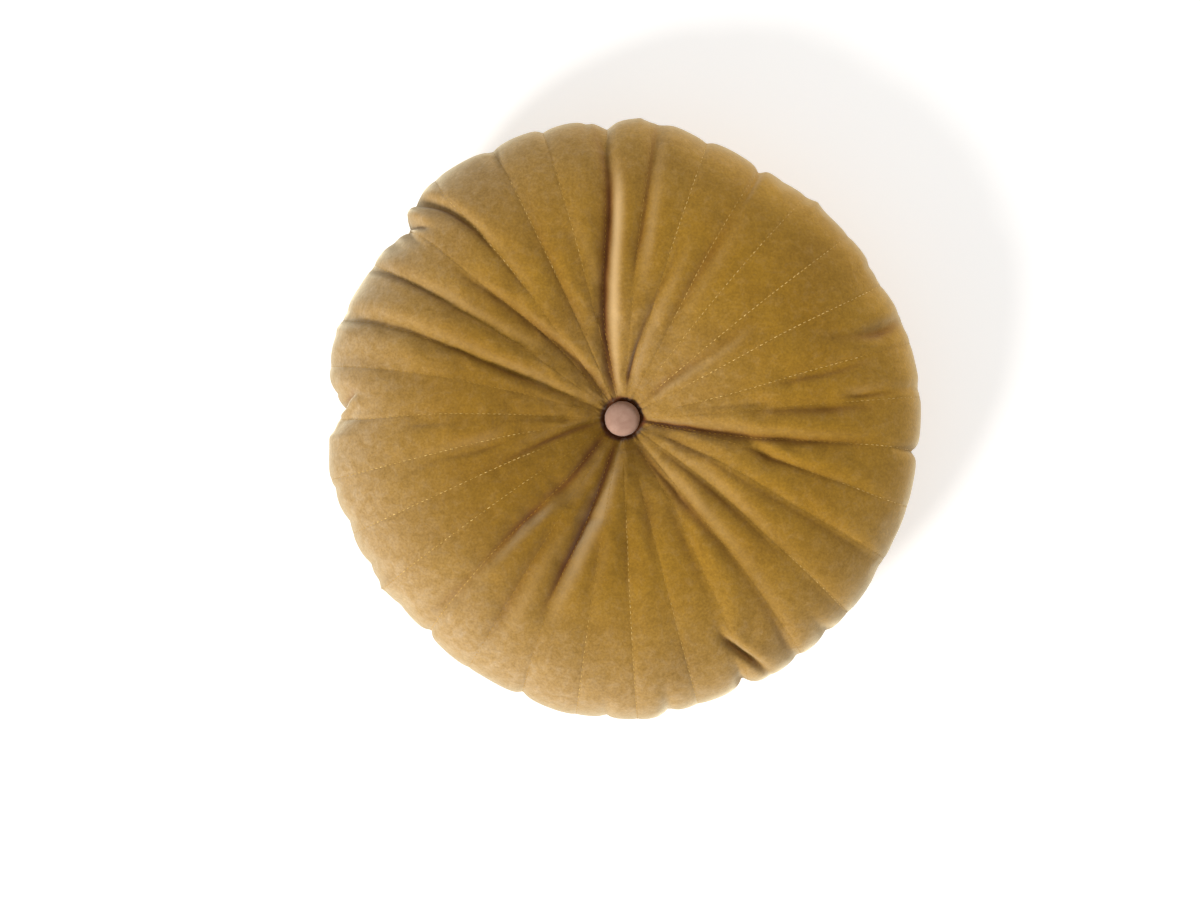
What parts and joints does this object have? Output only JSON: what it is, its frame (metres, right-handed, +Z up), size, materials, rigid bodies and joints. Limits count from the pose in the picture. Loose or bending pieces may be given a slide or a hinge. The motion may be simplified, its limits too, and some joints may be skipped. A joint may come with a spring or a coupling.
{
  "type": "channeled throw pillow",
  "caption": "Round velvet throw pillow sewn in radial channels, drawn in at its middle by a covered button on the face and one on the back.",
  "frame": {"origin": "middle of the pillow's box, on the surface that it rests on, within 2 mm of the buttons' axis", "axes": "+Z up out of the face, with the pillow lying on its back; +X and +Y are the right and the top of the face as seen from straight above"},
  "size_m": [0.4002, 0.4054, 0.1093],
  "materials": {
    "velvet": "short-pile ochre velvet with a soft pale sheen where it turns away",
    "button_cloth": "matt dusty-pink plain weave"
  },
  "bodies": {
    "root": {"cushion": "velvet", "front_button": "button_cloth", "back_button": "button_cloth"}
  },
  "joints": []
}
